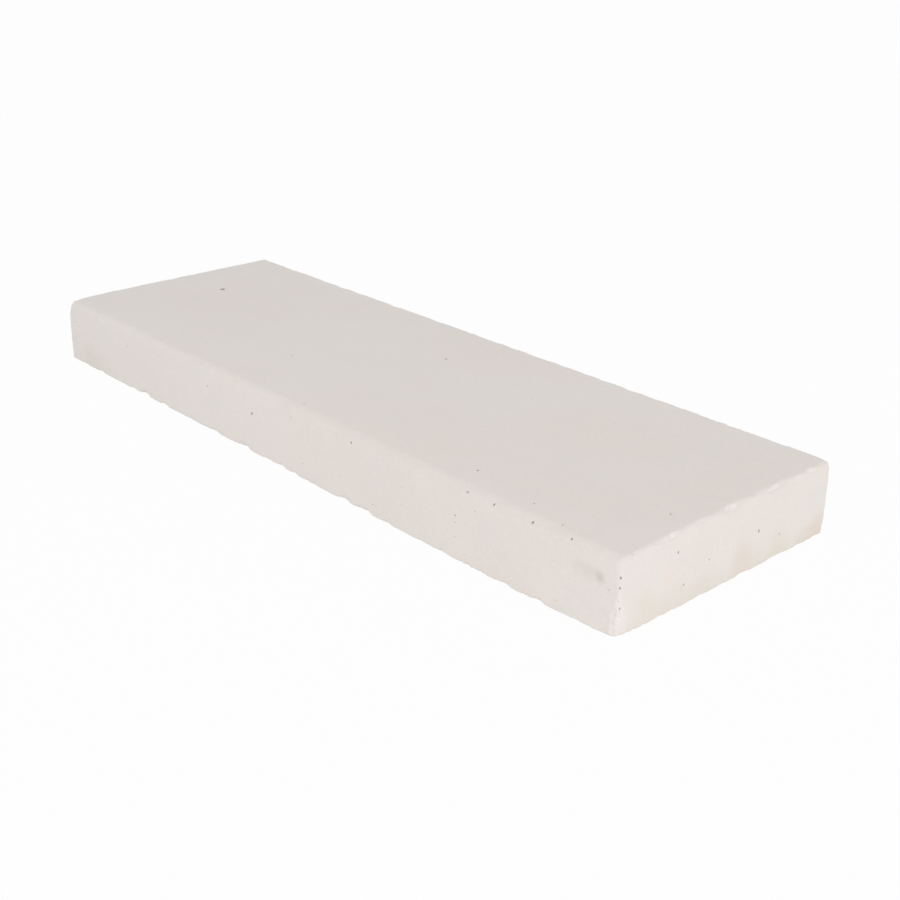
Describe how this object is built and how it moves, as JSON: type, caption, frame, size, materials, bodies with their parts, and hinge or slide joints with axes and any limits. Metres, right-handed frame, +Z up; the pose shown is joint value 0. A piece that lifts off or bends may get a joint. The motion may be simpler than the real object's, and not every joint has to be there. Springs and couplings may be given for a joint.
{
  "type": "gymnastics chalk block",
  "caption": "Bare flat slab of pressed magnesium carbonate chalk with worn edges and chipped corners, for hands and grips.",
  "frame": {"origin": "middle of the underside, which the slab lies on", "axes": "+X along the length towards the end with the two worn corners, +Y across the width away from the rubbed long edge, +Z up through the thickness"},
  "size_m": [0.24, 0.08, 0.02],
  "materials": {
    "chalk": "matte, powdery pressed magnesium carbonate, warm off-white"
  },
  "bodies": {
    "root": {"chalk_block": "chalk"}
  },
  "joints": []
}
